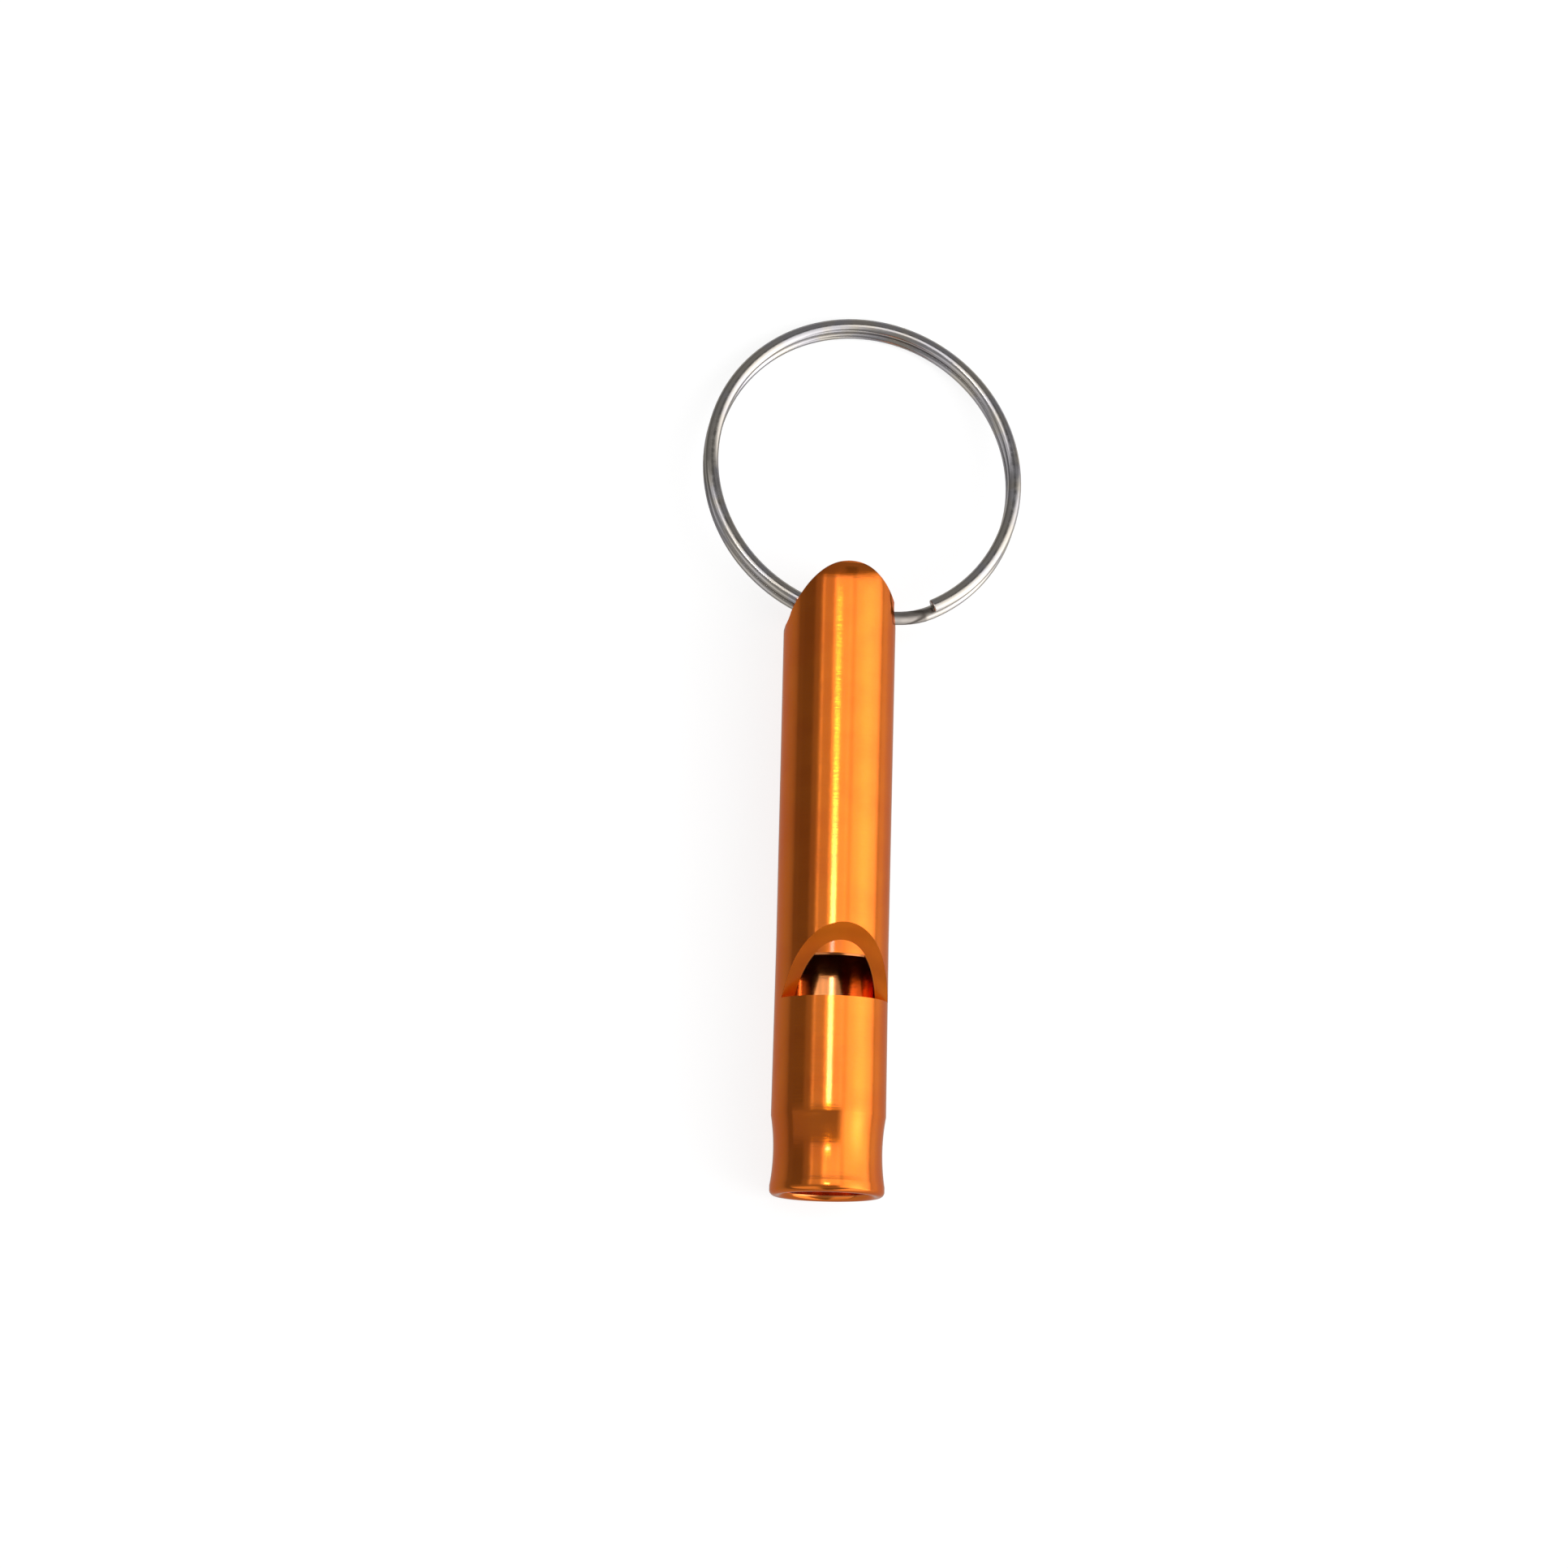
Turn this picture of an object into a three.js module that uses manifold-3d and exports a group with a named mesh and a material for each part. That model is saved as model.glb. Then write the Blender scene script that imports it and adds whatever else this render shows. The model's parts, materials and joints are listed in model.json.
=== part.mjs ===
// A tubular key-ring whistle: an aluminium tube with an arched closed end and a sound window,
// a windway plug pressed into its mouth, and a two-turn split ring in a cross hole.
// Millimetres, +Z up. The whistle lies on a table with its window upwards, its mouth towards -Y
// and its ring towards +Y. The origin is on the table, under the middle of the whole part.

import * as THREE from 'three';
import { mergeVertices } from 'three/addons/utils/BufferGeometryUtils.js';
import Module from 'manifold-3d';

// Tube. Places along it are measured from the mouth.
const tubeLength = 45.25;
const tubeDiameter = 8;
const wallThickness = 0.85;

// Mouth: a rounded lip, a hollow waist to bite on, and a slight swell that fades out behind it.
const lipRise = 0.08;
const rimRounding = 0.4;
const lipLand = 0.3;
const waistDepth = 0.13;
const waistLength = 5;
const swellRise = 0.08;
const swellLength = 12;

// Closed end: turned with a round edge, then cut to an arch from side to side.
const archRise = 6.35;
const endRounding = 1.2;

// Sound window: a square ledge towards the mouth and a slightly hollow ramp up to the tube's surface.
const ledgePosition = 13.85;
const windowLength = 5.25;
const windowDepth = 2.85;
const rampHollow = 0.19;

// Windway plug: a round rod with a flat, which leaves the air a channel under the tube's wall.
const plugRecess = 1;
const plugClearance = 0.05;
const windwayHeight = 1.1;

// Cross hole for the ring, and the solid web between it and the end of the bore.
const holeToTip = 2.95;
const ringPlay = 0.1;
const webThickness = 2.5;

// Split ring: flat-sided spring wire in two turns, with its cut ends on either side of a jog.
const ringDiameter = 23.4;
const wireWidth = 1;
const wireThickness = 0.7;
const turnGap = 0.42;
const ringSideShift = 1.8;
const cutEndAngle = THREE.MathUtils.degToRad(26);

// Fineness of the round surfaces.
const tubeFacets = 48;
const curveSteps = 6;
const archSteps = 32;
const holeFacets = 32;
const stepsPerTurn = 60;
const jogSteps = 4;
const wireSides = 12;

// Cutting shapes reach this far past what they cut.
const cutMargin = 1;
const tangentMargin = 0.03;

const tubeRadius = tubeDiameter / 2;
const boreRadius = tubeRadius - wallThickness;
const coilRadius = (ringDiameter - wireWidth) / 2;
const wasm = await Module();
wasm.setup();

function solidFrom(geometry) {
  const bare = geometry.clone();
  bare.deleteAttribute('normal');
  bare.deleteAttribute('uv');
  const merged = mergeVertices(bare);
  const corners = [];
  for (let i = 0; i < merged.index.count; i += 3) {
    const [a, b, c] = [merged.index.getX(i), merged.index.getX(i + 1), merged.index.getX(i + 2)];
    if (a !== b && b !== c && c !== a) {
      corners.push(a, b, c);
    }
  }
  const mesh = new wasm.Mesh({
    numProp: 3,
    vertProperties: new Float32Array(merged.attributes.position.array),
    triVerts: new Uint32Array(corners),
  });
  return new wasm.Manifold(mesh);
}

function geometryFrom(solid) {
  const mesh = solid.getMesh();
  const geometry = new THREE.BufferGeometry();
  geometry.setAttribute('position', new THREE.BufferAttribute(mesh.vertProperties, 3));
  geometry.setIndex(new THREE.BufferAttribute(mesh.triVerts, 1));
  geometry.computeVertexNormals();
  return geometry;
}

function cylinderAlongTube(radius, from, to) {
  const geometry = new THREE.CylinderGeometry(radius, radius, to - from, tubeFacets);
  return solidFrom(geometry.translate(0, (from + to) / 2, 0));
}

// A quarter circle of an outer edge, about a centre given as radius and place along the tube.
function edgeArc(radius, place, rounding, startAngle) {
  const points = [];
  for (let i = 0; i <= curveSteps; i += 1) {
    const angle = startAngle + (i / curveSteps) * (Math.PI / 2);
    points.push(new THREE.Vector2(radius + rounding * Math.cos(angle), place + rounding * Math.sin(angle)));
  }
  return points;
}

// Half of a hollow groove, from its bottom, where it runs along the tube, up to its edge.
function hollowRun(bottomRadius, bottomPlace, edgeRadius, edgePlace) {
  const points = [];
  for (let i = 1; i <= curveSteps; i += 1) {
    const share = i / curveSteps;
    const radius = bottomRadius + (edgeRadius - bottomRadius) * share ** 2;
    points.push(new THREE.Vector2(radius, bottomPlace + (edgePlace - bottomPlace) * share));
  }
  return points;
}

// The wire's section: offsets across the wire and along the ring's axis, with rounded corners.
function wireSection() {
  const rounded = (value) => Math.sign(value) * Math.sqrt(Math.abs(value));
  const points = [];
  for (let i = 0; i < wireSides; i += 1) {
    const angle = (i / wireSides) * 2 * Math.PI;
    const across = (wireWidth / 2) * rounded(Math.cos(angle));
    const along = (wireThickness / 2) * rounded(Math.sin(angle));
    points.push(new THREE.Vector2(across, along));
  }
  return points;
}

// The ring's middle, seen from the middle of the cross hole: the arc of wire that crosses the tube
// lies as far to one side of the hole's middle line as to the other.
function ringMiddle() {
  const arcHalfWidth = tubeRadius + ringSideShift;
  const arcEndDistance = Math.sqrt(coilRadius ** 2 - arcHalfWidth ** 2);
  return new THREE.Vector2(ringSideShift, (coilRadius + arcEndDistance) / 2);
}

// The ring's sections in turn, in a flat ring's own frame with the middle of the cross hole at its
// origin. The upper turn starts at its cut end, drops through the jog beside that end and goes on
// as the lower turn.
function ringSections() {
  const centre = ringMiddle();
  const turnRise = wireThickness + turnGap;
  const section = wireSection();
  const steps = 2 * stepsPerTurn - jogSteps;
  const sections = [];
  for (let i = 0; i <= steps; i += 1) {
    const angle = cutEndAngle - Math.PI / 2 + (i / stepsPerTurn) * 2 * Math.PI;
    const fall = THREE.MathUtils.clamp((i - stepsPerTurn + jogSteps) / jogSteps, 0, 1);
    const height = (turnRise / 2) * Math.cos(Math.PI * fall);
    sections.push(section.map((offset) => new THREE.Vector3(
      centre.x + (coilRadius + offset.x) * Math.cos(angle),
      centre.y + (coilRadius + offset.x) * Math.sin(angle),
      height + offset.y,
    )));
  }
  return sections;
}

// The least distance between points of the wire that are more than half a turn apart along it.
function leastTurnGap(sections) {
  let least = Infinity;
  for (let i = 0; i < sections.length; i += 1) {
    for (let j = i + stepsPerTurn / 2; j < sections.length; j += 1) {
      for (const point of sections[i]) {
        for (const other of sections[j]) {
          least = Math.min(least, point.distanceTo(other));
        }
      }
    }
  }
  return least;
}

function ringGeometry(sections) {
  const corners = [];
  const last = sections.length - 1;
  for (let i = 0; i < last; i += 1) {
    for (let j = 0; j < wireSides; j += 1) {
      const next = (j + 1) % wireSides;
      const [a, b] = [i * wireSides + j, i * wireSides + next];
      corners.push(a, a + wireSides, b);
      corners.push(b, a + wireSides, b + wireSides);
    }
  }
  for (let j = 1; j < wireSides - 1; j += 1) {
    corners.push(0, j, j + 1);
    corners.push(last * wireSides, last * wireSides + j + 1, last * wireSides + j);
  }
  const geometry = new THREE.BufferGeometry().setFromPoints(sections.flat());
  geometry.setIndex(corners);
  geometry.computeVertexNormals();
  return geometry;
}

// How far from the hole's middle line the wire reaches where it crosses the tube.
function wireReach(sections) {
  const nearHalf = sections.flat().filter((point) => point.y < ringMiddle().y);
  const inside = nearHalf.filter((point) => Math.abs(point.x) <= tubeRadius);
  return Math.max(...inside.map((point) => Math.hypot(point.y, point.z)));
}

// The angle that the ring hangs down by, until its far side rests on the table.
function ringDroop(sections, axisHeight) {
  const outside = sections.flat().filter((point) => Math.hypot(point.y, point.z) > axisHeight);
  const contactAngles = outside.map((point) => {
    const distance = Math.hypot(point.y, point.z);
    return Math.atan2(point.z, point.y) + Math.asin(axisHeight / distance);
  });
  return Math.min(...contactAngles);
}

function tubeGeometry(holeRadius) {
  const lipRadius = tubeRadius + lipRise;
  const waistRadius = tubeRadius - waistDepth;
  const swellRadius = tubeRadius + swellRise;
  const waistStart = rimRounding + lipLand;
  const waistCentre = waistStart + waistLength / 2;
  const waistEnd = waistStart + waistLength;
  const roundedTop = tubeLength + tangentMargin - endRounding;
  const outline = [
    new THREE.Vector2(0, 0),
    ...edgeArc(lipRadius - rimRounding, rimRounding, rimRounding, -Math.PI / 2),
    ...hollowRun(waistRadius, waistCentre, lipRadius, waistStart).reverse(),
    new THREE.Vector2(waistRadius, waistCentre),
    ...hollowRun(waistRadius, waistCentre, swellRadius, waistEnd),
    new THREE.Vector2(tubeRadius, waistEnd + swellLength),
    ...edgeArc(tubeRadius - endRounding, roundedTop, endRounding, 0),
    new THREE.Vector2(0, tubeLength + tangentMargin),
  ];
  const turned = solidFrom(new THREE.LatheGeometry(outline, tubeFacets));

  // Everything under the arch that closes the end
  const springLine = tubeLength - archRise;
  const archHalfWidth = tubeRadius + tangentMargin;
  const wide = tubeDiameter;
  const arch = new THREE.Shape();
  arch.moveTo(-wide, -cutMargin);
  arch.lineTo(wide, -cutMargin);
  arch.lineTo(wide, springLine);
  arch.lineTo(archHalfWidth, springLine);
  arch.absellipse(0, springLine, archHalfWidth, archRise, 0, Math.PI, false);
  arch.lineTo(-wide, springLine);
  const underArch = new THREE.ExtrudeGeometry(arch, {
    depth: 2 * wide,
    bevelEnabled: false,
    curveSegments: archSteps,
  });
  underArch.translate(0, 0, -wide);

  // The window's cut: drawn as place along the tube and height, then pulled across the tube
  const windowEnd = ledgePosition + windowLength;
  const ledgeHeight = tubeRadius - windowDepth;
  const bendHeight = tubeRadius - windowDepth / 2 - 2 * rampHollow;
  const endSlope = (tubeRadius - bendHeight) / (windowLength / 2);
  const cut = new THREE.Shape();
  cut.moveTo(ledgePosition, ledgeHeight);
  cut.quadraticCurveTo(ledgePosition + windowLength / 2, bendHeight, windowEnd, tubeRadius);
  cut.lineTo(windowEnd + cutMargin / endSlope, tubeRadius + cutMargin);
  cut.lineTo(ledgePosition, tubeRadius + cutMargin);
  const windowCut = new THREE.ExtrudeGeometry(cut, {
    depth: 2 * wide,
    bevelEnabled: false,
    curveSegments: curveSteps,
  });
  windowCut.translate(0, 0, -wide);
  windowCut.rotateX(Math.PI / 2);
  windowCut.rotateZ(Math.PI / 2);

  const holeCentre = tubeLength - holeToTip;
  const boreEnd = holeCentre - holeRadius - webThickness;
  const crossHole = new THREE.CylinderGeometry(holeRadius, holeRadius, 2 * wide, holeFacets);
  crossHole.rotateZ(Math.PI / 2);
  crossHole.translate(0, holeCentre, 0);

  const shaped = turned.intersect(solidFrom(underArch));
  const hollow = shaped.subtract(cylinderAlongTube(boreRadius, -cutMargin, boreEnd));
  return geometryFrom(hollow.subtract(solidFrom(windowCut)).subtract(solidFrom(crossHole)));
}

function plugGeometry() {
  const plugRadius = boreRadius - plugClearance;
  const flatHeight = boreRadius - windwayHeight;
  const rod = cylinderAlongTube(plugRadius, plugRecess, ledgePosition);
  const channel = new THREE.BoxGeometry(tubeDiameter, tubeLength, tubeDiameter);
  channel.translate(0, ledgePosition, flatHeight + tubeDiameter / 2);
  return geometryFrom(rod.subtract(solidFrom(channel)));
}

function piece(name, geometry, colour, roughness) {
  const material = new THREE.MeshStandardMaterial({ color: colour, roughness, metalness: 1 });
  const mesh = new THREE.Mesh(geometry, material);
  mesh.name = name;
  return mesh;
}

const sections = ringSections();
console.log(`Least gap between the ring's turns: ${leastTurnGap(sections).toFixed(2)} mm`);

const holeRadius = wireReach(sections) + ringPlay;
const axisHeight = tubeRadius + Math.max(lipRise, swellRise);

const body = piece('whistle_body', tubeGeometry(holeRadius), 0xe0761e, 0.28);
const plug = piece('fipple_plug', plugGeometry(), 0xd06a1c, 0.35);
const ring = piece('split_ring', ringGeometry(sections), 0xc4c0ba, 0.2);
ring.position.y = tubeLength - holeToTip;
ring.rotation.x = -ringDroop(sections, axisHeight);

const whistle = new THREE.Group();
whistle.add(body, plug, ring);
whistle.updateMatrixWorld(true);

// The origin goes to the middle of the underside of the whole part.
const extent = new THREE.Box3().setFromObject(whistle, true);
const middle = extent.getCenter(new THREE.Vector3());
whistle.position.set(-middle.x, -middle.y, -extent.min.z);

export default whistle;
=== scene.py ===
import json
import math
import bpy
from mathutils import Matrix, Vector


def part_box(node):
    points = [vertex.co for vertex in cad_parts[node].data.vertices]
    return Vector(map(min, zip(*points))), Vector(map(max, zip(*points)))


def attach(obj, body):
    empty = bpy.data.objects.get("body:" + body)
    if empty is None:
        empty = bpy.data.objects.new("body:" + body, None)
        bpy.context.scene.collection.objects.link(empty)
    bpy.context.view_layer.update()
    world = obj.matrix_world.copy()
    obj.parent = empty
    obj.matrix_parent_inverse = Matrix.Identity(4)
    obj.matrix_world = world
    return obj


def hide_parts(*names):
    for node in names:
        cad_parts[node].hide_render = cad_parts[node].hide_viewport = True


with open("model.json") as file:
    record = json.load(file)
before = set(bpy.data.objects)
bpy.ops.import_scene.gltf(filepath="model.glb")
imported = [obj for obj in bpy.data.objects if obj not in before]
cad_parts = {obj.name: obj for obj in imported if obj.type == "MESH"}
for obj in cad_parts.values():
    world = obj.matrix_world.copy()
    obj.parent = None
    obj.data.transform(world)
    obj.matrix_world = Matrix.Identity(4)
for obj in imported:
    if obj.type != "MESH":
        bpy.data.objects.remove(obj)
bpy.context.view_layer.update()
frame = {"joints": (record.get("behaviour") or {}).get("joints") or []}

# Pieces are modelled in millimetres, with the tube's axis on Y and its mouth at 0.
mm = 0.001
tubeLow, tubeHigh = (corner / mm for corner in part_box("whistle_body"))
swing = next(joint for joint in frame["joints"] if joint["name"] == "ring_swing")
hinge = Vector(swing["pos_m"]) / mm
mouth = Vector(((tubeLow.x + tubeHigh.x) / 2, tubeLow.y, (tubeLow.z + tubeHigh.z) / 2))
print("frame read: tube", round(tubeHigh.y - tubeLow.y, 2), "mm long")


# Hand tools

bench = {
    "longestFace": 3,  # in facet widths
    "mergeParts": 12,  # points closer than this part of a round are one point
    "evenWeight": 50,
}


def clearSelection():
    if bpy.context.mode != "OBJECT":
        bpy.ops.object.mode_set(mode="OBJECT")
    bpy.ops.object.select_all(action="DESELECT")


def takeUp(piece):
    clearSelection()
    piece.select_set(True)
    bpy.context.view_layer.objects.active = piece


# names the primitive just added, and puts its place, turn and size into its mesh
def started(name):
    piece = bpy.context.object
    piece.name = name
    piece.data.name = name
    takeUp(piece)
    bpy.ops.object.transform_apply(location=True, rotation=True, scale=True)
    return piece


def carve(piece, tool, how="DIFFERENCE"):
    takeUp(piece)
    cut = piece.modifiers.new("cut", "BOOLEAN")
    cut.operation = how
    cut.solver = "MANIFOLD"
    cut.object = tool
    bpy.ops.object.modifier_apply(modifier=cut.name)
    bpy.data.objects.remove(tool)


# fills the long straight runs of an outline, so that the faces stay short
def closeSpaced(outline, facets):
    reach = bench["longestFace"] * 2 * math.pi * max(radius for place, radius in outline) / facets
    points = [outline[0]]
    for (place, radius), (nextPlace, nextRadius) in zip(outline, outline[1:]):
        pieces = max(1, math.ceil(abs(nextPlace - place) / reach))
        for i in range(1, pieces + 1):
            share = i / pieces
            points.append((place + (nextPlace - place) * share, radius + (nextRadius - radius) * share))
    return points


# turns an outline of (place, radius) about the tube's axis, closed at both ends
def turned(name, outline, facets):
    clearSelection()
    place, radius = outline[0]
    bpy.ops.mesh.primitive_circle_add(
        vertices=facets, radius=radius, fill_type="NGON",
        location=(0, place, 0), rotation=(math.radians(90), 0, 0))
    piece = started(name)
    bpy.ops.object.mode_set(mode="EDIT")
    bpy.ops.mesh.select_mode(type="EDGE")
    bpy.ops.mesh.select_all(action="SELECT")
    for nextPlace, nextRadius in closeSpaced(outline, facets)[1:]:
        bpy.ops.mesh.extrude_edges_move(TRANSFORM_OT_translate={"value": (0, nextPlace - place, 0)})
        growth = nextRadius / radius
        bpy.ops.transform.resize(value=(growth, 1, growth), center_override=(0, nextPlace, 0))
        place, radius = nextPlace, nextRadius
    bpy.ops.mesh.edge_face_add()
    bpy.ops.mesh.select_all(action="SELECT")
    bpy.ops.mesh.normals_make_consistent(inside=False)
    bpy.ops.object.mode_set(mode="OBJECT")
    return piece


# breaks the sharp edges with a small round
def softenEdges(piece, width, steps, sharpDeg):
    near = width / bench["mergeParts"]
    takeUp(piece)
    bpy.ops.object.mode_set(mode="EDIT")
    bpy.ops.mesh.select_all(action="SELECT")
    bpy.ops.mesh.remove_doubles(threshold=near)
    bpy.ops.mesh.dissolve_degenerate(threshold=near)
    bpy.ops.object.mode_set(mode="OBJECT")
    rounding = piece.modifiers.new("broken edges", "BEVEL")
    rounding.limit_method = "ANGLE"
    rounding.angle_limit = math.radians(sharpDeg)
    rounding.width = width
    rounding.segments = steps
    rounding.use_clamp_overlap = True
    bpy.ops.object.modifier_apply(modifier=rounding.name)


# the same, with smooth shading between the edges
def breakEdges(piece, width, steps, sharpDeg):
    softenEdges(piece, width, steps, sharpDeg)
    bpy.ops.object.shade_smooth_by_angle(angle=math.radians(sharpDeg))
    shading = piece.modifiers.new("even shading", "WEIGHTED_NORMAL")
    shading.mode = "FACE_AREA"
    shading.weight = bench["evenWeight"]
    shading.keep_sharp = True
    bpy.ops.object.modifier_apply(modifier=shading.name)


# millimetres to metres, and from the tube's own frame to the part's
def settle(piece, offset):
    takeUp(piece)
    piece.location = Vector(offset) * mm
    piece.scale = (mm, mm, mm)
    bpy.ops.object.transform_apply(location=True, rotation=True, scale=True)


# Tube

tube = {
    "wall": 0.85,
    "swell": 0.08,
    "swellLength": 12.0,
    "rimRounding": 0.4,
    "rimInside": 0.42,
    "lipLand": 0.3,
    "waistDepth": 0.13,
    "waistLength": 5.0,
    "waistSteps": 28,
    "rimSteps": 8,
    "endLead": 7.0,
    "endLeadDeg": 12,
    "endLeadSteps": 6,
    "endRounding": 0.85,
    "endSteps": 12,
    "archRise": 7.7,
    "archShort": 0.12,
    "archOverhang": 0.6,
    "archRollDeg": -10,
    "archLeanDeg": -6.85,
    "archStock": 12,
    "archDepth": 16,
    "archFacets": 160,
    "archEdge": 0.2,
    "archEdgeSteps": 3,
    "archSharpDeg": 30,
    "ledge": 13.85,
    "windowLength": 5.25,
    "windowDepth": 2.85,
    "rampHollow": 0.19,
    "wheelWidth": 12,
    "wheelFacets": 360,
    "holeRadius": 1.6,
    "holeRollDeg": -4,
    "drillLength": 12,
    "drillFacets": 72,
    "web": 2.5,
    "lipPlace": 16.85,
    "lipReach": 1.9,
    "lipHalfWidth": 2.1,
    "lipThickness": 0.14,
    "lipBevel": 0.15,
    "lipBlock": (4, 1.6),  # half its length and half its height
    "facets": 128,
    "edge": 0.06,
    "edgeSteps": 2,
    "sharpDeg": 25,
    "markShare": 1,
    # the whole bore takes its painted shade
    "boreShadeShare": 1,
}
tubeLength = tubeHigh.y - tubeLow.y
lipRadius = (tubeHigh.z - tubeLow.z) / 2
tubeRadius = lipRadius - tube["swell"]
boreRadius = tubeRadius - tube["wall"]
holePlace = hinge.y - tubeLow.y
boreEnd = holePlace - tube["holeRadius"] - tube["web"]


def arc(middlePlace, middleRadius, radius, startDeg, endDeg, steps):
    points = []
    for i in range(steps + 1):
        angle = math.radians(startDeg + (endDeg - startDeg) * i / steps)
        points.append((middlePlace + radius * math.sin(angle), middleRadius + radius * math.cos(angle)))
    return points


# the closed end: a long gentle arc that runs on into a tight one
def endOutline():
    lead, leadDeg, rounding = tube["endLead"], tube["endLeadDeg"], tube["endRounding"]
    reach = (lead - rounding) * math.sin(math.radians(leadDeg))
    sink = (lead - rounding) * math.cos(math.radians(leadDeg))
    start = tubeLength - rounding - reach
    points = arc(start, tubeRadius - lead, lead, 0, leadDeg, tube["endLeadSteps"])
    tip = arc(start + reach, tubeRadius - lead + sink, rounding, leadDeg, 90, tube["endSteps"])
    return points + tip[1:]


def tubeOutline():
    rim, inside, rimSteps = tube["rimRounding"], tube["rimInside"], tube["rimSteps"]
    waistStart = rim + tube["lipLand"]
    waistHalf = tube["waistLength"] / 2
    waistRadius = tubeRadius - tube["waistDepth"]
    waistSteps = tube["waistSteps"]
    points = [(boreEnd, boreRadius)]
    points += arc(inside, boreRadius + inside, inside, 180, 270, rimSteps)
    points += arc(rim, lipRadius - rim, rim, -90, 0, rimSteps)
    for i in range(waistSteps + 1):
        share = 2 * i / waistSteps - 1
        radius = waistRadius + (lipRadius - waistRadius) * share ** 2
        points.append((waistStart + waistHalf * (1 + share), radius))
    swellStart = waistStart + tube["waistLength"]
    points.append((swellStart + tube["swellLength"], tubeRadius))
    return points + endOutline()


# what the arch leaves off the closed end
def archTool():
    spring = tubeLength - tube["archShort"] - tube["archRise"]
    clearSelection()
    stock = tube["archStock"]
    bpy.ops.mesh.primitive_cube_add(size=stock, location=(0, spring + stock / 2, 0))
    block = started("archBlock")
    clearSelection()
    halfWidth = tubeRadius + tube["archOverhang"]
    bpy.ops.mesh.primitive_cylinder_add(
        vertices=tube["archFacets"], radius=1, depth=tube["archDepth"], location=(0, spring, 0),
        rotation=(0, 0, math.radians(tube["archLeanDeg"])), scale=(halfWidth, tube["archRise"], 1))
    arch = started("archRound")
    carve(block, arch)
    block.rotation_euler = (0, math.radians(tube["archRollDeg"]), 0)
    return block


# the window's cutter: a wide wheel that leaves the hollow ramp, cut off square at the ledge
def windowTool():
    start = Vector((tube["ledge"], tubeRadius - tube["windowDepth"]))
    end = Vector((tube["ledge"] + tube["windowLength"], tubeRadius))
    chord = end - start
    wheel = chord.length ** 2 / (8 * tube["rampHollow"]) + tube["rampHollow"] / 2
    outward = Vector((-chord.y, chord.x)).normalized()
    middle = (start + end) / 2 + outward * (wheel - tube["rampHollow"])
    clearSelection()
    bpy.ops.mesh.primitive_cylinder_add(
        vertices=tube["wheelFacets"], radius=wheel, depth=tube["wheelWidth"],
        location=(0, middle.x, middle.y), rotation=(0, math.radians(90), 0))
    tool = started("windowWheel")
    bpy.ops.object.mode_set(mode="EDIT")
    bpy.ops.mesh.select_all(action="SELECT")
    bpy.ops.mesh.bisect(plane_co=(0, tube["ledge"], 0), plane_no=(0, 1, 0), use_fill=True, clear_inner=True)
    bpy.ops.mesh.select_all(action="SELECT")
    bpy.ops.mesh.normals_make_consistent(inside=False)
    bpy.ops.object.mode_set(mode="OBJECT")
    return tool


# the thin lip that the ramp ends in, a strip of the bore's roof with a straight bevelled edge
def lipTool():
    place, reach, thickness = tube["lipPlace"], tube["lipReach"], tube["lipThickness"]
    under = boreRadius - thickness * 2 / 3
    over = boreRadius + thickness / 3
    edge = [(place, under + thickness / 6), (place + tube["lipBevel"], over)]
    lip = turned("lipRod", [*edge, (place + reach, over)], tube["facets"])
    clearSelection()
    bpy.ops.mesh.primitive_cylinder_add(
        vertices=tube["facets"], radius=under, depth=reach * 2,
        location=(0, place + reach / 2, 0), rotation=(math.radians(90), 0, 0))
    carve(lip, started("lipHollow"))
    clearSelection()
    bpy.ops.mesh.primitive_cube_add(
        size=2, location=(0, place, boreRadius), scale=(tube["lipHalfWidth"], *tube["lipBlock"]))
    carve(lip, started("lipBlock"), "INTERSECT")
    return lip


def holeTool():
    clearSelection()
    bpy.ops.mesh.primitive_cylinder_add(
        vertices=tube["drillFacets"], radius=tube["holeRadius"], depth=tube["drillLength"],
        location=(0, holePlace, 0), rotation=(0, math.radians(90 + tube["holeRollDeg"]), 0))
    return started("crossDrill")


def makeTube():
    body = turned("whistleTube", tubeOutline(), tube["facets"])
    carve(body, archTool())
    softenEdges(body, tube["archEdge"], tube["archEdgeSteps"], tube["archSharpDeg"])
    carve(body, windowTool())
    carve(body, lipTool(), "UNION")
    carve(body, holeTool())
    breakEdges(body, tube["edge"], tube["edgeSteps"], tube["sharpDeg"])
    settle(body, mouth)
    return body


# Plug

plug = {
    "clearance": 0.05,
    "recess": 1.0,
    "windway": 1.1,
    "edge": 0.1,
    "edgeSteps": 3,
    "sharpDeg": 25,
    "facets": 96,
    "markShare": 2,
    # the plug sits in the bore and takes part of the bore's painted shade
    "boreShadeShare": 0.3,
}


def makePlug():
    radius = boreRadius - plug["clearance"]
    rod = turned("windwayPlug", [(tube["ledge"], radius), (plug["recess"], radius)], plug["facets"])
    takeUp(rod)
    bpy.ops.object.mode_set(mode="EDIT")
    bpy.ops.mesh.select_all(action="SELECT")
    bpy.ops.mesh.bisect(
        plane_co=(0, 0, boreRadius - plug["windway"]), plane_no=(0, 0, 1), use_fill=True, clear_outer=True)
    bpy.ops.mesh.select_all(action="SELECT")
    bpy.ops.mesh.normals_make_consistent(inside=False)
    bpy.ops.object.mode_set(mode="OBJECT")
    breakEdges(rod, plug["edge"], plug["edgeSteps"], plug["sharpDeg"])
    settle(rod, mouth)
    return rod


# Split ring

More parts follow.
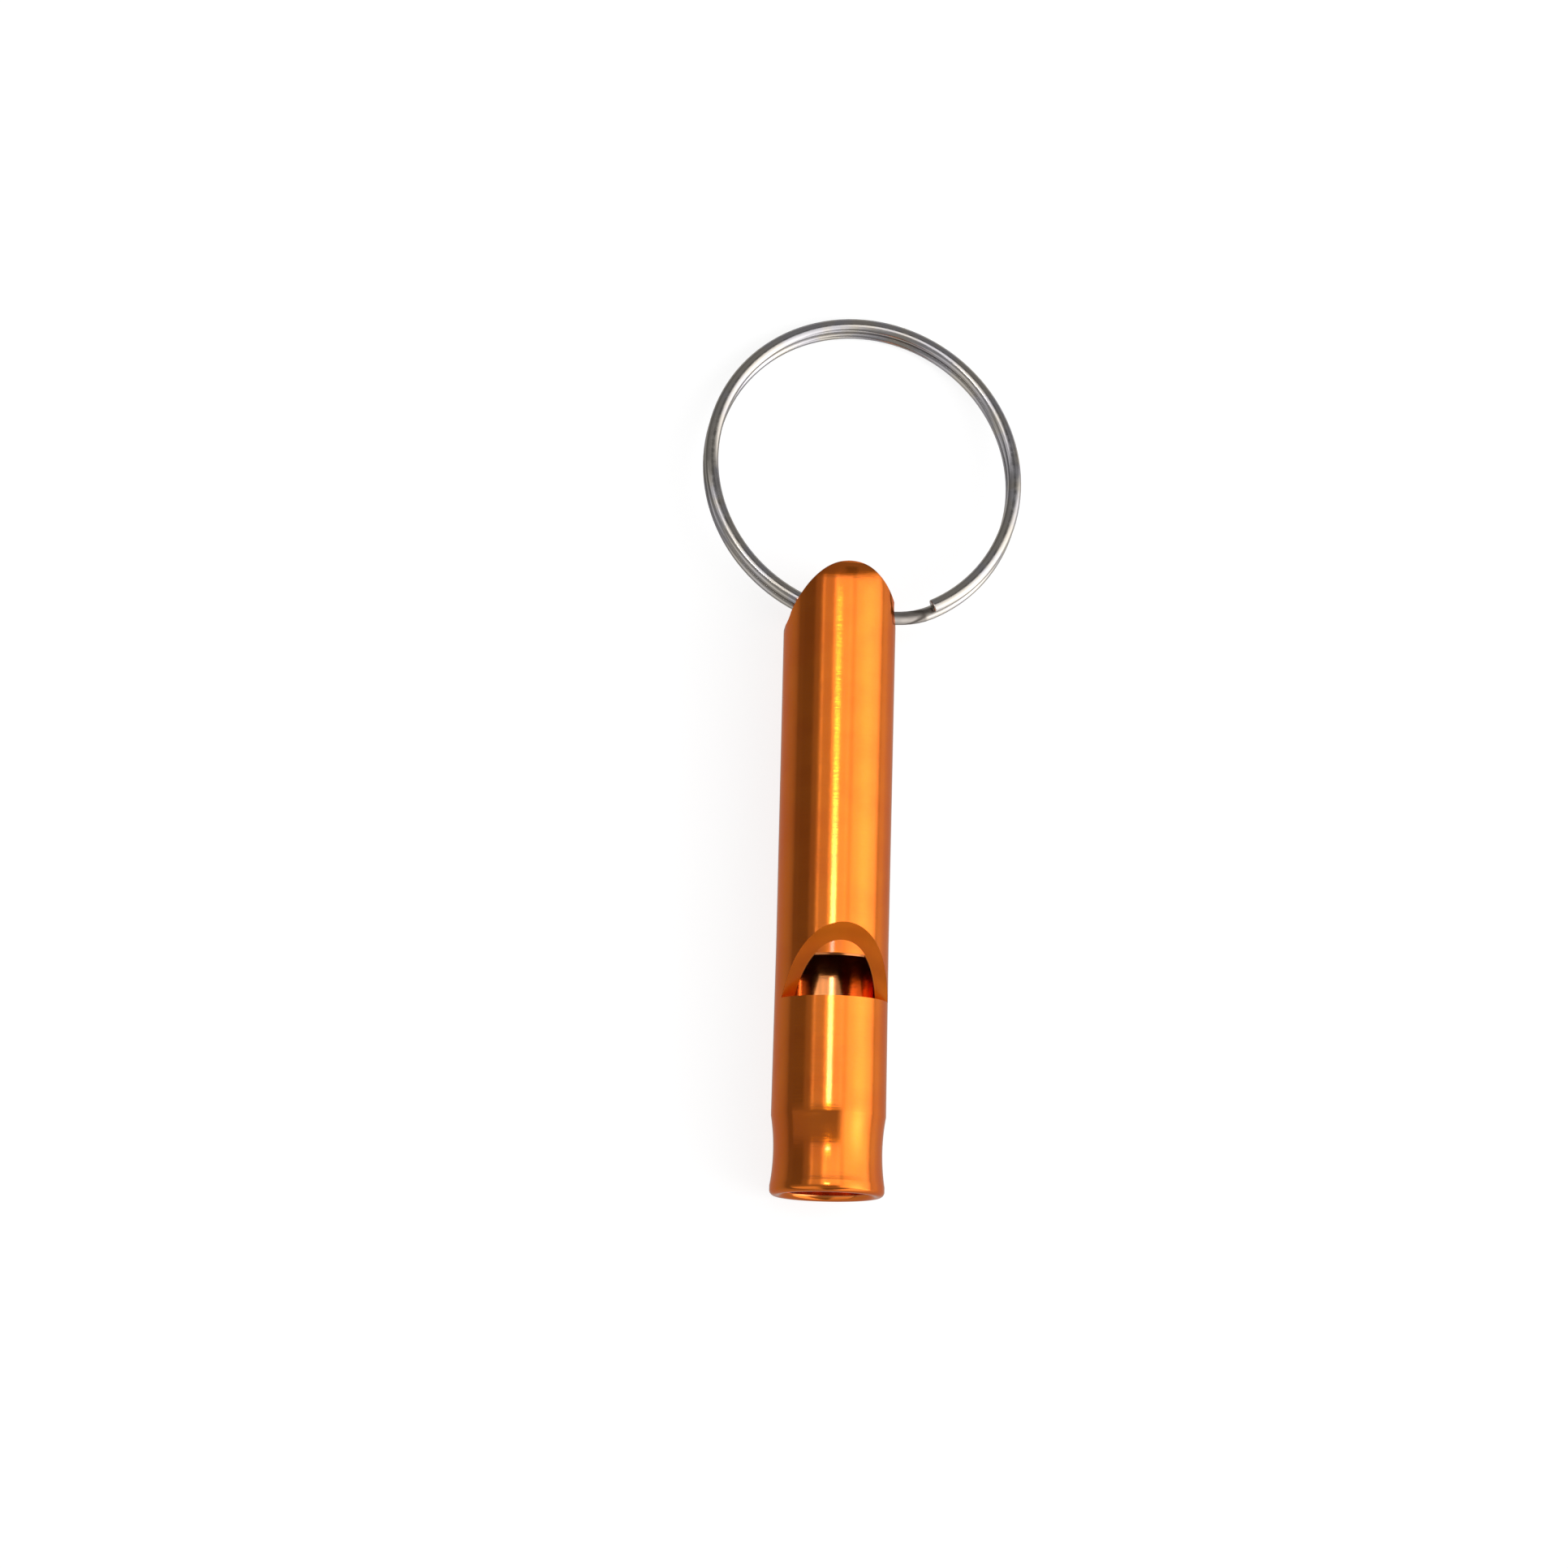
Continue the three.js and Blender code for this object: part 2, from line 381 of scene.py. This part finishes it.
ring = {
    "diameter": 23.38,
    "wireWidth": 1.0,
    "wireThickness": 0.64,
    "turnGap": 0.02,
    "sideShift": 1.8,
    "upperSlide": 0.08,
    "turnSlide": 0.24,
    "cutEndDeg": 26,
    "jogDeg": 24,
    "stepDeg": 3,
    "sides": 24,
    "edge": 0.1,
    "edgeSteps": 3,
    "sharpDeg": 40,
}
coilRadius = (ring["diameter"] - ring["wireWidth"]) / 2
arcHalfWidth = tubeRadius + ring["sideShift"]
ringMiddle = Vector((
    ring["sideShift"], (coilRadius + math.sqrt(coilRadius ** 2 - arcHalfWidth ** 2)) / 2, 0))


def swept(degrees, steps, middle):
    bpy.ops.mesh.spin(steps=steps, angle=math.radians(-degrees), center=tuple(middle), axis=(0, 0, 1))


def makeRing():
    startDeg = ring["cutEndDeg"] - 90
    rise = ring["wireThickness"] + ring["turnGap"]
    turnDeg = 360 - ring["jogDeg"]
    jogSteps = ring["jogDeg"] // ring["stepDeg"]
    # a section 1 mm across, drawn out to the wire's width and thickness
    clearSelection()
    bpy.ops.mesh.primitive_circle_add(vertices=ring["sides"], radius=0.5, fill_type="NGON")
    wire = started("splitRing")
    bpy.ops.object.mode_set(mode="EDIT")
    bpy.ops.mesh.select_all(action="SELECT")
    bpy.ops.transform.resize(value=(ring["wireWidth"], ring["wireThickness"], 1), center_override=(0, 0, 0))
    bpy.ops.object.mode_set(mode="OBJECT")
    wire.rotation_euler = (math.radians(90), 0, math.radians(startDeg))
    around = Vector((math.cos(math.radians(startDeg)), math.sin(math.radians(startDeg)), 0))
    upper = ringMiddle + Vector((0, ring["upperSlide"], rise / 2))
    wire.location = upper + coilRadius * around
    bpy.ops.object.transform_apply(location=True, rotation=True, scale=True)
    bpy.ops.object.mode_set(mode="EDIT")
    bpy.ops.mesh.select_all(action="SELECT")
    swept(turnDeg, turnDeg // ring["stepDeg"], upper)
    middle = upper
    for i in range(1, jogSteps + 1):
        share = (1 - math.cos(math.pi * i / jogSteps)) / 2
        nextMiddle = upper - share * Vector((0, ring["turnSlide"], rise))
        swept(ring["stepDeg"], 1, middle)
        bpy.ops.transform.translate(value=nextMiddle - middle)
        middle = nextMiddle
    swept(turnDeg, turnDeg // ring["stepDeg"], middle)
    bpy.ops.mesh.select_all(action="SELECT")
    bpy.ops.mesh.normals_make_consistent(inside=False)
    bpy.ops.object.mode_set(mode="OBJECT")
    breakEdges(wire, ring["edge"], ring["edgeSteps"], ring["sharpDeg"])
    # the far side drops until it lies on the floor
    drop = min(
        math.atan2(point.co.z, point.co.y) + math.asin(hinge.z / math.hypot(point.co.y, point.co.z))
        for point in wire.data.vertices if point.co.y > hinge.z)
    takeUp(wire)
    wire.rotation_euler = (-drop, 0, 0)
    bpy.ops.object.transform_apply(location=True, rotation=True, scale=True)
    settle(wire, hinge)
    return wire, drop


whistleTube = makeTube()
print("tube made:", len(whistleTube.data.polygons), "faces")
windwayPlug = makePlug()
print("plug made:", len(windwayPlug.data.polygons), "faces")
splitRing, ringDrop = makeRing()
print("ring made:", len(splitRing.data.polygons), "faces, dropped by", round(math.degrees(ringDrop), 2))


# Finishes

# adds a node; an input takes a fixed value or another node's output
def addNode(tree, kind, inputs=None, **settings):
    made = tree.nodes.new(kind)
    for key, value in settings.items():
        setattr(made, key, value)
    for key, value in (inputs or {}).items():
        if isinstance(value, bpy.types.NodeSocket):
            tree.links.new(value, made.inputs[key])
        else:
            made.inputs[key].default_value = value
    return made


def sums(tree, how, *terms):
    return addNode(tree, "ShaderNodeMath", dict(enumerate(terms)), operation=how).outputs[0]


def vectorSums(tree, how, first, second):
    return addNode(tree, "ShaderNodeVectorMath", {0: first, 1: second}, operation=how).outputs[0]


def newGroup(name, inputs, outputs):
    group = bpy.data.node_groups.new(name, "ShaderNodeTree")
    for title, kind in inputs.items():
        group.interface.new_socket(title, in_out="INPUT", socket_type=kind)
    for title, kind in outputs.items():
        group.interface.new_socket(title, in_out="OUTPUT", socket_type=kind)
    return group, group.nodes.new("NodeGroupInput").outputs, group.nodes.new("NodeGroupOutput").inputs


def placeGroup(tree, group, inputs):
    return addNode(tree, "ShaderNodeGroup", inputs, node_tree=group).outputs


def faded(tree, value, start, end, low=0, high=1):
    return addNode(tree, "ShaderNodeMapRange", {
        "Value": value, "From Min": start, "From Max": end, "To Min": low, "To Max": high,
    }, interpolation_type="SMOOTHSTEP").outputs["Result"]


# the mix node's colours are its inputs 6 and 7 and its output 2
def mixed(tree, share, first, second):
    return addNode(tree, "ShaderNodeMix", {0: share, 6: first, 7: second}, data_type="RGBA").outputs[2]


grain = {
    "fineDetail": 2,
    "fineRoughness": 0.6,
    "broadScale": 0.12,
    "broadDetail": 1,
}


# fine marks that a cutting tool leaves: close along the feed, long across it
def toolMarksGroup():
    group, given, result = newGroup(
        "toolMarks",
        {"Vector": "NodeSocketVector", "Feed": "NodeSocketFloat", "Drift": "NodeSocketFloat"},
        {"Height": "NodeSocketFloat", "Tone": "NodeSocketFloat"})
    way = addNode(group, "ShaderNodeSeparateXYZ", {"Vector": given["Vector"]}).outputs
    place = addNode(group, "ShaderNodeCombineXYZ", {
        "X": sums(group, "MULTIPLY", way["X"], given["Drift"]),
        "Y": sums(group, "MULTIPLY", way["Y"], given["Feed"]),
        "Z": sums(group, "MULTIPLY", way["Z"], given["Drift"]),
    }).outputs["Vector"]
    fine = addNode(group, "ShaderNodeTexNoise", {
        "Vector": place, "Scale": 1, "Detail": grain["fineDetail"], "Roughness": grain["fineRoughness"]})
    broad = addNode(group, "ShaderNodeTexNoise", {
        "Vector": place, "Scale": grain["broadScale"], "Detail": grain["broadDetail"]})
    group.links.new(fine.outputs["Fac"], result["Height"])
    group.links.new(broad.outputs["Fac"], result["Tone"])
    return group


wear = {
    "cloudScale": 0.5,
    "cloudDetail": 3,
    "nickScale": 0.7,
    "nickEdge": (0.03, 0.07),
    "waveScale": 3,
    "waveDetail": 1,
}


# small nicks from keys and pockets, soft clouds in the colour and a slightly uneven surface
def handlingGroup():
    group, given, result = newGroup(
        "handling",
        {"Vector": "NodeSocketVector", "Size": "NodeSocketFloat"},
        {"Clouds": "NodeSocketFloat", "Nicks": "NodeSocketFloat", "Waviness": "NodeSocketFloat"})
    closeness = sums(group, "DIVIDE", 1, given["Size"])
    scaled = addNode(group, "ShaderNodeVectorMath", {0: given["Vector"], 3: closeness}, operation="SCALE")
    place = scaled.outputs["Vector"]
    clouds = addNode(group, "ShaderNodeTexNoise", {
        "Vector": place, "Scale": wear["cloudScale"], "Detail": wear["cloudDetail"]})
    cells = addNode(group, "ShaderNodeTexVoronoi", {
        "Vector": place, "Scale": wear["nickScale"], "Randomness": 1})
    nicks = faded(group, cells.outputs["Distance"], *wear["nickEdge"], 1, 0)
    wavy = addNode(group, "ShaderNodeTexNoise", {
        "Vector": place, "Scale": wear["waveScale"], "Detail": wear["waveDetail"]})
    group.links.new(clouds.outputs["Fac"], result["Clouds"])
    group.links.new(nicks, result["Nicks"])
    group.links.new(wavy.outputs["Fac"], result["Waviness"])
    return group


toolMarks = toolMarksGroup()
handling = handlingGroup()


def newFinish(name):
    material = bpy.data.materials.new(name)
    material.use_nodes = True
    shader = material.node_tree.nodes["Principled BSDF"]
    shader.inputs["Metallic"].default_value = 1
    return material, material.node_tree, shader.inputs


anodising = {
    "colour": (0.93, 0.205, 0.008, 1),
    "deepColour": (0.88, 0.175, 0.006, 1),
    # painted shade: the bore's colour below is duller and less red, to damp the light bouncing inside the
    # bore
    "boreShadeColour": (0.72, 0.24, 0.06, 1),
    "glancing": (1.0, 0.55, 0.28, 1),
    "gloss": (0.11, 0.16),
    "glossEdge": (0.3, 0.7),
    "coat": 0.5,
    "coatGloss": 0.06,
    "cutDulling": 0.21,
    "cutEdge": 0.012,
    "markPitch": 0.16,
    "markDrift": 1.6,
    "markDepth": 0.003,
    "waveDepth": 0.0035,
    "wearSize": 1.7,
    "cloudEdge": (0.35, 0.7),
    "nickShare": 0.4,
    "boreEdge": 0.04,
}


# orange dye over turned metal; inside the bore a duller, less red colour is painted as shade, damping the
# light that bounces there, and the share given says how much of that painted shade shows
def makeAnodising(name, markShare, boreShadeShare):
    material, tree, finish = newFinish(name)
    finish["Coat Weight"].default_value = anodising["coat"]
    finish["Coat Roughness"].default_value = anodising["coatGloss"]
    finish["Specular Tint"].default_value = anodising["glancing"]
    place = addNode(tree, "ShaderNodeTexCoord").outputs["Object"]
    fromMouth = vectorSums(tree, "SUBTRACT", place, mouth * mm)
    across = vectorSums(tree, "MULTIPLY", fromMouth, (1, 0, 1))
    reach = addNode(tree, "ShaderNodeVectorMath", {0: across}, operation="LENGTH").outputs["Value"]
    way = addNode(tree, "ShaderNodeSeparateXYZ", {"Vector": fromMouth}).outputs
    # the tool feeds along the tube, and inwards over a flat end
    turning = addNode(tree, "ShaderNodeCombineXYZ", {
        "X": way["X"], "Y": sums(tree, "ADD", way["Y"], reach), "Z": way["Z"]}).outputs["Vector"]
    lathe = placeGroup(tree, toolMarks, {
        "Vector": turning, "Feed": 1 / (anodising["markPitch"] * mm),
        "Drift": 1 / (anodising["markDrift"] * mm)})
    used = placeGroup(tree, handling, {"Vector": place, "Size": anodising["wearSize"] * mm})
    tone = faded(tree, used["Clouds"], *anodising["cloudEdge"])
    colour = mixed(tree, tone, anodising["colour"], anodising["deepColour"])
    nicks = sums(tree, "MULTIPLY", used["Nicks"], anodising["nickShare"])
    colour = mixed(tree, nicks, colour, anodising["deepColour"])
    # painted shade inside the bore, fading out at the bore's edge
    inside = faded(
        tree, reach, boreRadius * mm, (boreRadius + anodising["boreEdge"]) * mm, boreShadeShare, 0)
    tree.links.new(mixed(tree, inside, colour, anodising["boreShadeColour"]), finish["Base Color"])
    gloss = faded(tree, lathe["Tone"], *anodising["glossEdge"], *anodising["gloss"])
    # the milled ramp is duller than the turned outside
    edge = anodising["cutEdge"]
    rampEnd = tube["ledge"] + tube["windowLength"]
    below = faded(tree, reach, (tubeRadius - edge) * mm, (tubeRadius - edge / 3) * mm, 1, 0)
    pastLedge = faded(tree, way["Y"], (tube["ledge"] - edge) * mm, tube["ledge"] * mm)
    beforeEnd = faded(tree, way["Y"], rampEnd * mm, (rampEnd + edge) * mm, 1, 0)
    milled = sums(tree, "MULTIPLY", sums(tree, "MULTIPLY", below, pastLedge), beforeEnd)
    milled = sums(tree, "MULTIPLY", milled, sums(tree, "SUBTRACT", 1, inside))
    dulled = sums(tree, "MULTIPLY", milled, anodising["cutDulling"])
    tree.links.new(sums(tree, "ADD", gloss, dulled), finish["Roughness"])
    waves = sums(tree, "MULTIPLY", used["Waviness"], anodising["waveDepth"] * mm)
    grooves = sums(tree, "MULTIPLY", lathe["Height"], anodising["markDepth"] * markShare * mm)
    bump = addNode(tree, "ShaderNodeBump", {"Height": sums(tree, "ADD", waves, grooves), "Distance": 1})
    tree.links.new(bump.outputs["Normal"], finish["Normal"])
    return material


plating = {
    "colour": (0.56, 0.515, 0.46, 1),
    "coolColour": (0.52, 0.5, 0.52, 1),
    # painted shade: the next colour darkens the seam where the two turns touch
    "seamShadeColour": (0.06, 0.05, 0.04, 1),
    "scuffed": (0.27, 0.24, 0.22, 1),
    "scuffMiddleDeg": -75,
    "scuffFullDeg": 7.2,
    "scuffHalfDeg": 9,
    "scuffShare": 0.8,
    "gloss": (0.12, 0.2),
    "glossEdge": (0.3, 0.7),
    "dulling": 0.3,
    "seamShadeReach": 0.1,
    "seamShadeShare": 0.75,
    "drawnPitch": 0.09,
    "drawnLength": 60,
    "drawnDepth": 0.0004,
    "wearSize": 1.2,
    "cloudEdge": (0.4, 0.6),
    "nickShare": 0.35,
}


# bright nickel on drawn wire; its marks run round the ring, and painted shade darkens the seam where the
# two turns touch
def makePlating(drop):
    material, tree, finish = newFinish("nickelPlating")
    place = addNode(tree, "ShaderNodeTexCoord").outputs["Object"]
    flat = addNode(tree, "ShaderNodeMapping", {
        "Vector": vectorSums(tree, "SUBTRACT", place, hinge * mm),
        "Rotation": (drop, 0, 0), "Location": -ringMiddle * mm}).outputs["Vector"]
    way = addNode(tree, "ShaderNodeSeparateXYZ", {"Vector": flat}).outputs
    around = sums(tree, "ARCTAN2", way["Y"], way["X"])
    squares = [sums(tree, "MULTIPLY", way[axis], way[axis]) for axis in ("X", "Y")]
    reach = sums(tree, "SQRT", sums(tree, "ADD", *squares))
    along = addNode(tree, "ShaderNodeCombineXYZ", {
        "X": sums(tree, "MULTIPLY", around, 1 / plating["drawnLength"]), "Y": reach, "Z": way["Z"]})
    drawn = placeGroup(tree, toolMarks, {
        "Vector": along.outputs["Vector"],
        "Feed": 1 / (plating["drawnPitch"] * mm), "Drift": 1 / (plating["drawnPitch"] * mm)})
    used = placeGroup(tree, handling, {"Vector": place, "Size": plating["wearSize"] * mm})
    tint = faded(tree, used["Clouds"], *plating["cloudEdge"])
    colour = mixed(tree, tint, plating["colour"], plating["coolColour"])
    # painted shade along the seam between the two turns, strongest where they touch
    fromSeam = sums(tree, "ABSOLUTE", way["Z"])
    seamShade = faded(tree, fromSeam, 0, plating["seamShadeReach"] * mm, plating["seamShadeShare"], 0)
    fromCut = sums(tree, "ABSOLUTE", sums(
        tree, "SUBTRACT", around, math.radians(plating["scuffMiddleDeg"])))
    prised = faded(
        tree, fromCut, math.radians(plating["scuffFullDeg"]), math.radians(plating["scuffHalfDeg"]),
        plating["scuffShare"], 0)
    colour = mixed(tree, prised, colour, plating["scuffed"])
    # the seam's painted shade, together with real nicks from handling
    seamShadeAndNicks = sums(tree, "MAXIMUM", seamShade, sums(tree, "MULTIPLY", used["Nicks"], plating["nickShare"]))
    tree.links.new(mixed(tree, seamShadeAndNicks, colour, plating["seamShadeColour"]), finish["Base Color"])
    gloss = faded(tree, drawn["Tone"], *plating["glossEdge"], *plating["gloss"])
    dulled = sums(tree, "MULTIPLY", sums(tree, "ADD", seamShade, prised), plating["dulling"])
    tree.links.new(sums(tree, "ADD", gloss, dulled), finish["Roughness"])
    bump = addNode(tree, "ShaderNodeBump", {
        "Height": drawn["Height"], "Distance": plating["drawnDepth"] * mm, "Strength": 1})
    tree.links.new(bump.outputs["Normal"], finish["Normal"])
    return material


def dress(piece, material, body, node):
    piece.data.materials.clear()
    piece.data.materials.append(material)
    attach(piece, body)
    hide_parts(node)


tubeFinish = makeAnodising("orangeAnodising", tube["markShare"], tube["boreShadeShare"])
plugFinish = makeAnodising("plugAnodising", plug["markShare"], plug["boreShadeShare"])
dress(whistleTube, tubeFinish, "whistle", "whistle_body")
dress(windwayPlug, plugFinish, "whistle", "fipple_plug")
dress(splitRing, makePlating(ringDrop), "ring", "split_ring")
print("finishes on")


# Camera

shot = {
    "rollDeg": 11.96,
    "tiltDeg": 8.972,
    "leanDeg": 1.377,
    "aim": (-5.593, -2.809, 4.08),
    "distance": 500,
    "lens": 161.29,
    "sensor": 36,
    "clip": (0.01, 20),  # in metres
}


def makeCamera():
    roll, tilt, lean = (math.radians(shot[key]) for key in ("rollDeg", "tiltDeg", "leanDeg"))
    toCamera = Vector((-math.cos(tilt) * math.sin(roll), -math.sin(tilt), math.cos(tilt) * math.cos(roll)))
    right = Vector((math.cos(roll), 0, math.sin(roll)))
    up = toCamera.cross(right)
    leanRight = right * math.cos(lean) + up * math.sin(lean)
    leanUp = up * math.cos(lean) - right * math.sin(lean)
    lens = bpy.data.cameras.new("camera")
    lens.sensor_width = shot["sensor"]
    lens.lens = shot["lens"]
    lens.clip_start, lens.clip_end = shot["clip"]
    camera = bpy.data.objects.new("camera", lens)
    bpy.context.scene.collection.objects.link(camera)
    spot = (Vector(shot["aim"]) + toCamera * shot["distance"]) * mm
    camera.matrix_world = Matrix((
        (leanRight.x, leanUp.x, toCamera.x, spot.x),
        (leanRight.y, leanUp.y, toCamera.y, spot.y),
        (leanRight.z, leanUp.z, toCamera.z, spot.z),
        (0, 0, 0, 1)))
    bpy.context.scene.camera = camera


makeCamera()


# Floor and light

# angles in degrees: across runs from straight up towards +X, along runs towards +Y;
# each panel has a middle, a half width and a softness both ways
studio = {
    "base": 0.2,
    "backdrop": 1.0,
    "floorSize": 3,
    "floorColour": (0.3, 0.3, 0.3),
    "floorGlow": 0.82,
    "panels": {
        "rightWall": {"across": (50.5, 34.5, 12), "along": (-1.5, 24.5, 5), "light": 1.85},
        "rightGlow": {"across": (51, 13, 12), "along": (-4, 8, 14), "light": 2.1},
        "keyLamp": {"across": (-12.5, 4.5, 3.5), "along": (7.5, 0.8, 0.7), "light": 21},
        "leftScreen": {"across": (-33, 17, 5), "along": (14, 9.5, 2.5), "light": 0.62},
        "leftStrip": {"across": (-46, 2.5, 1.5), "along": (14, 9.5, 2.5), "light": 0.4},
        "leftFall": {"across": (-57, 7, 4), "along": (14, 9.5, 2.5), "light": 0.15},
        "topScreen": {"across": (-4, 18, 6), "along": (14, 9.5, 2.5), "light": 1.6},
        "ringFlag": {"across": (13, 14, 6), "along": (30, 6, 4), "light": -0.13},
        "lowFill": {"across": (-40, 75, 10), "along": (-25, 29, 4), "light": 0.17},
        "backFill": {"across": (10, 60, 20), "along": (58, 32, 5), "light": 0.09},
        "frontLeft": {"across": (-75, 45, 12), "along": (-50, 34, 8), "light": 0.6},
        "frontRight": {"across": (85, 45, 12), "along": (-50, 34, 8), "light": 1.6},
    },
    # start and end across the floor in mm, and the light at each
    "floorInMetal": {"left": (-35, -8, 0.18, 0.44), "right": (0, 30, 0.0, 0.28)},
}
panelSides = ("Across", "Along")
panelParts = ("Middle", "Half", "Soft")


# a soft-edged rectangle of light
def panelGroup():
    spreads = [f"{side} {part}" for side in panelSides for part in panelParts]
    inputs = dict.fromkeys([*panelSides, *spreads, "Light"], "NodeSocketFloat")
    group, given, result = newGroup("softPanel", inputs, {"Light": "NodeSocketFloat"})
    shares = []
    for side in panelSides:
        away = sums(group, "ABSOLUTE", sums(group, "SUBTRACT", given[side], given[side + " Middle"]))
        inner = sums(group, "SUBTRACT", given[side + " Half"], given[side + " Soft"])
        outer = sums(group, "ADD", given[side + " Half"], given[side + " Soft"])
        shares.append(faded(group, away, inner, outer, 1, 0))
    lit = sums(group, "MULTIPLY", *shares)
    group.links.new(sums(group, "MULTIPLY", lit, given["Light"]), result["Light"])
    return group


def makeStudio():
    world = bpy.data.worlds.new("studio")
    world.use_nodes = True
    tree = world.node_tree
    tree.nodes.clear()
    heading = addNode(tree, "ShaderNodeTexCoord").outputs["Generated"]
    way = addNode(tree, "ShaderNodeSeparateXYZ", {"Vector": heading}).outputs
    across = sums(tree, "DEGREES", sums(tree, "ARCTAN2", way["X"], way["Z"]))
    along = sums(tree, "DEGREES", sums(tree, "ARCSINE", way["Y"]))
    light = studio["base"]
    group = panelGroup()
    for name, panel in studio["panels"].items():
        values = {"Across": across, "Along": along, "Light": panel["light"]}
        for side in panelSides:
            for part, value in zip(panelParts, panel[side.lower()]):
                values[f"{side} {part}"] = value
        lamp = addNode(tree, "ShaderNodeGroup", values, node_tree=group, label=name)
        light = sums(tree, "ADD", lamp.outputs["Light"], light)
    seen = addNode(tree, "ShaderNodeLightPath").outputs["Is Camera Ray"]
    shown = addNode(tree, "ShaderNodeMix", {"Factor": seen, "A": light, "B": studio["backdrop"]})
    back = addNode(tree, "ShaderNodeBackground", {"Strength": shown.outputs["Result"]})
    output = addNode(tree, "ShaderNodeOutputWorld")
    tree.links.new(back.outputs["Background"], output.inputs["Surface"])
    bpy.context.scene.world = world
    bpy.context.scene.view_settings.view_transform = "Standard"


# white to the eye; to the metal's reflections it glows with painted light, dimmer on the left and brighter
# on the right
def makeFloor():
    clearSelection()
    bpy.ops.mesh.primitive_plane_add(size=studio["floorSize"])
    floor = started("floor")
    paint = bpy.data.materials.new("floorPaint")
    paint.use_nodes = True
    tree = paint.node_tree
    tree.nodes.clear()
    seen = addNode(tree, "ShaderNodeLightPath").outputs["Is Camera Ray"]
    white = addNode(tree, "ShaderNodeBsdfDiffuse", {"Color": (*studio["floorColour"], 1)})
    glow = addNode(tree, "ShaderNodeEmission", {"Strength": studio["floorGlow"]})
    lit = addNode(tree, "ShaderNodeAddShader", {0: white.outputs[0], 1: glow.outputs[0]})
    place = addNode(tree, "ShaderNodeTexCoord").outputs["Object"]
    side = addNode(tree, "ShaderNodeSeparateXYZ", {"Vector": place}).outputs["X"]
    # painted light: as the metal mirrors it, the floor glows dimmer on the left and brighter on the right
    shares = []
    for start, end, low, high in studio["floorInMetal"].values():
        shares.append(addNode(tree, "ShaderNodeMapRange", {
            "Value": side, "From Min": start * mm, "From Max": end * mm, "To Min": low, "To Max": high,
        }).outputs["Result"])
    paintedFloorGlow = addNode(tree, "ShaderNodeEmission", {"Strength": sums(tree, "ADD", *shares)})
    both = addNode(tree, "ShaderNodeMixShader", {0: seen, 1: paintedFloorGlow.outputs[0], 2: lit.outputs[0]})
    output = addNode(tree, "ShaderNodeOutputMaterial")
    tree.links.new(both.outputs[0], output.inputs["Surface"])
    floor.data.materials.append(paint)


makeStudio()
makeFloor()
print("studio set")
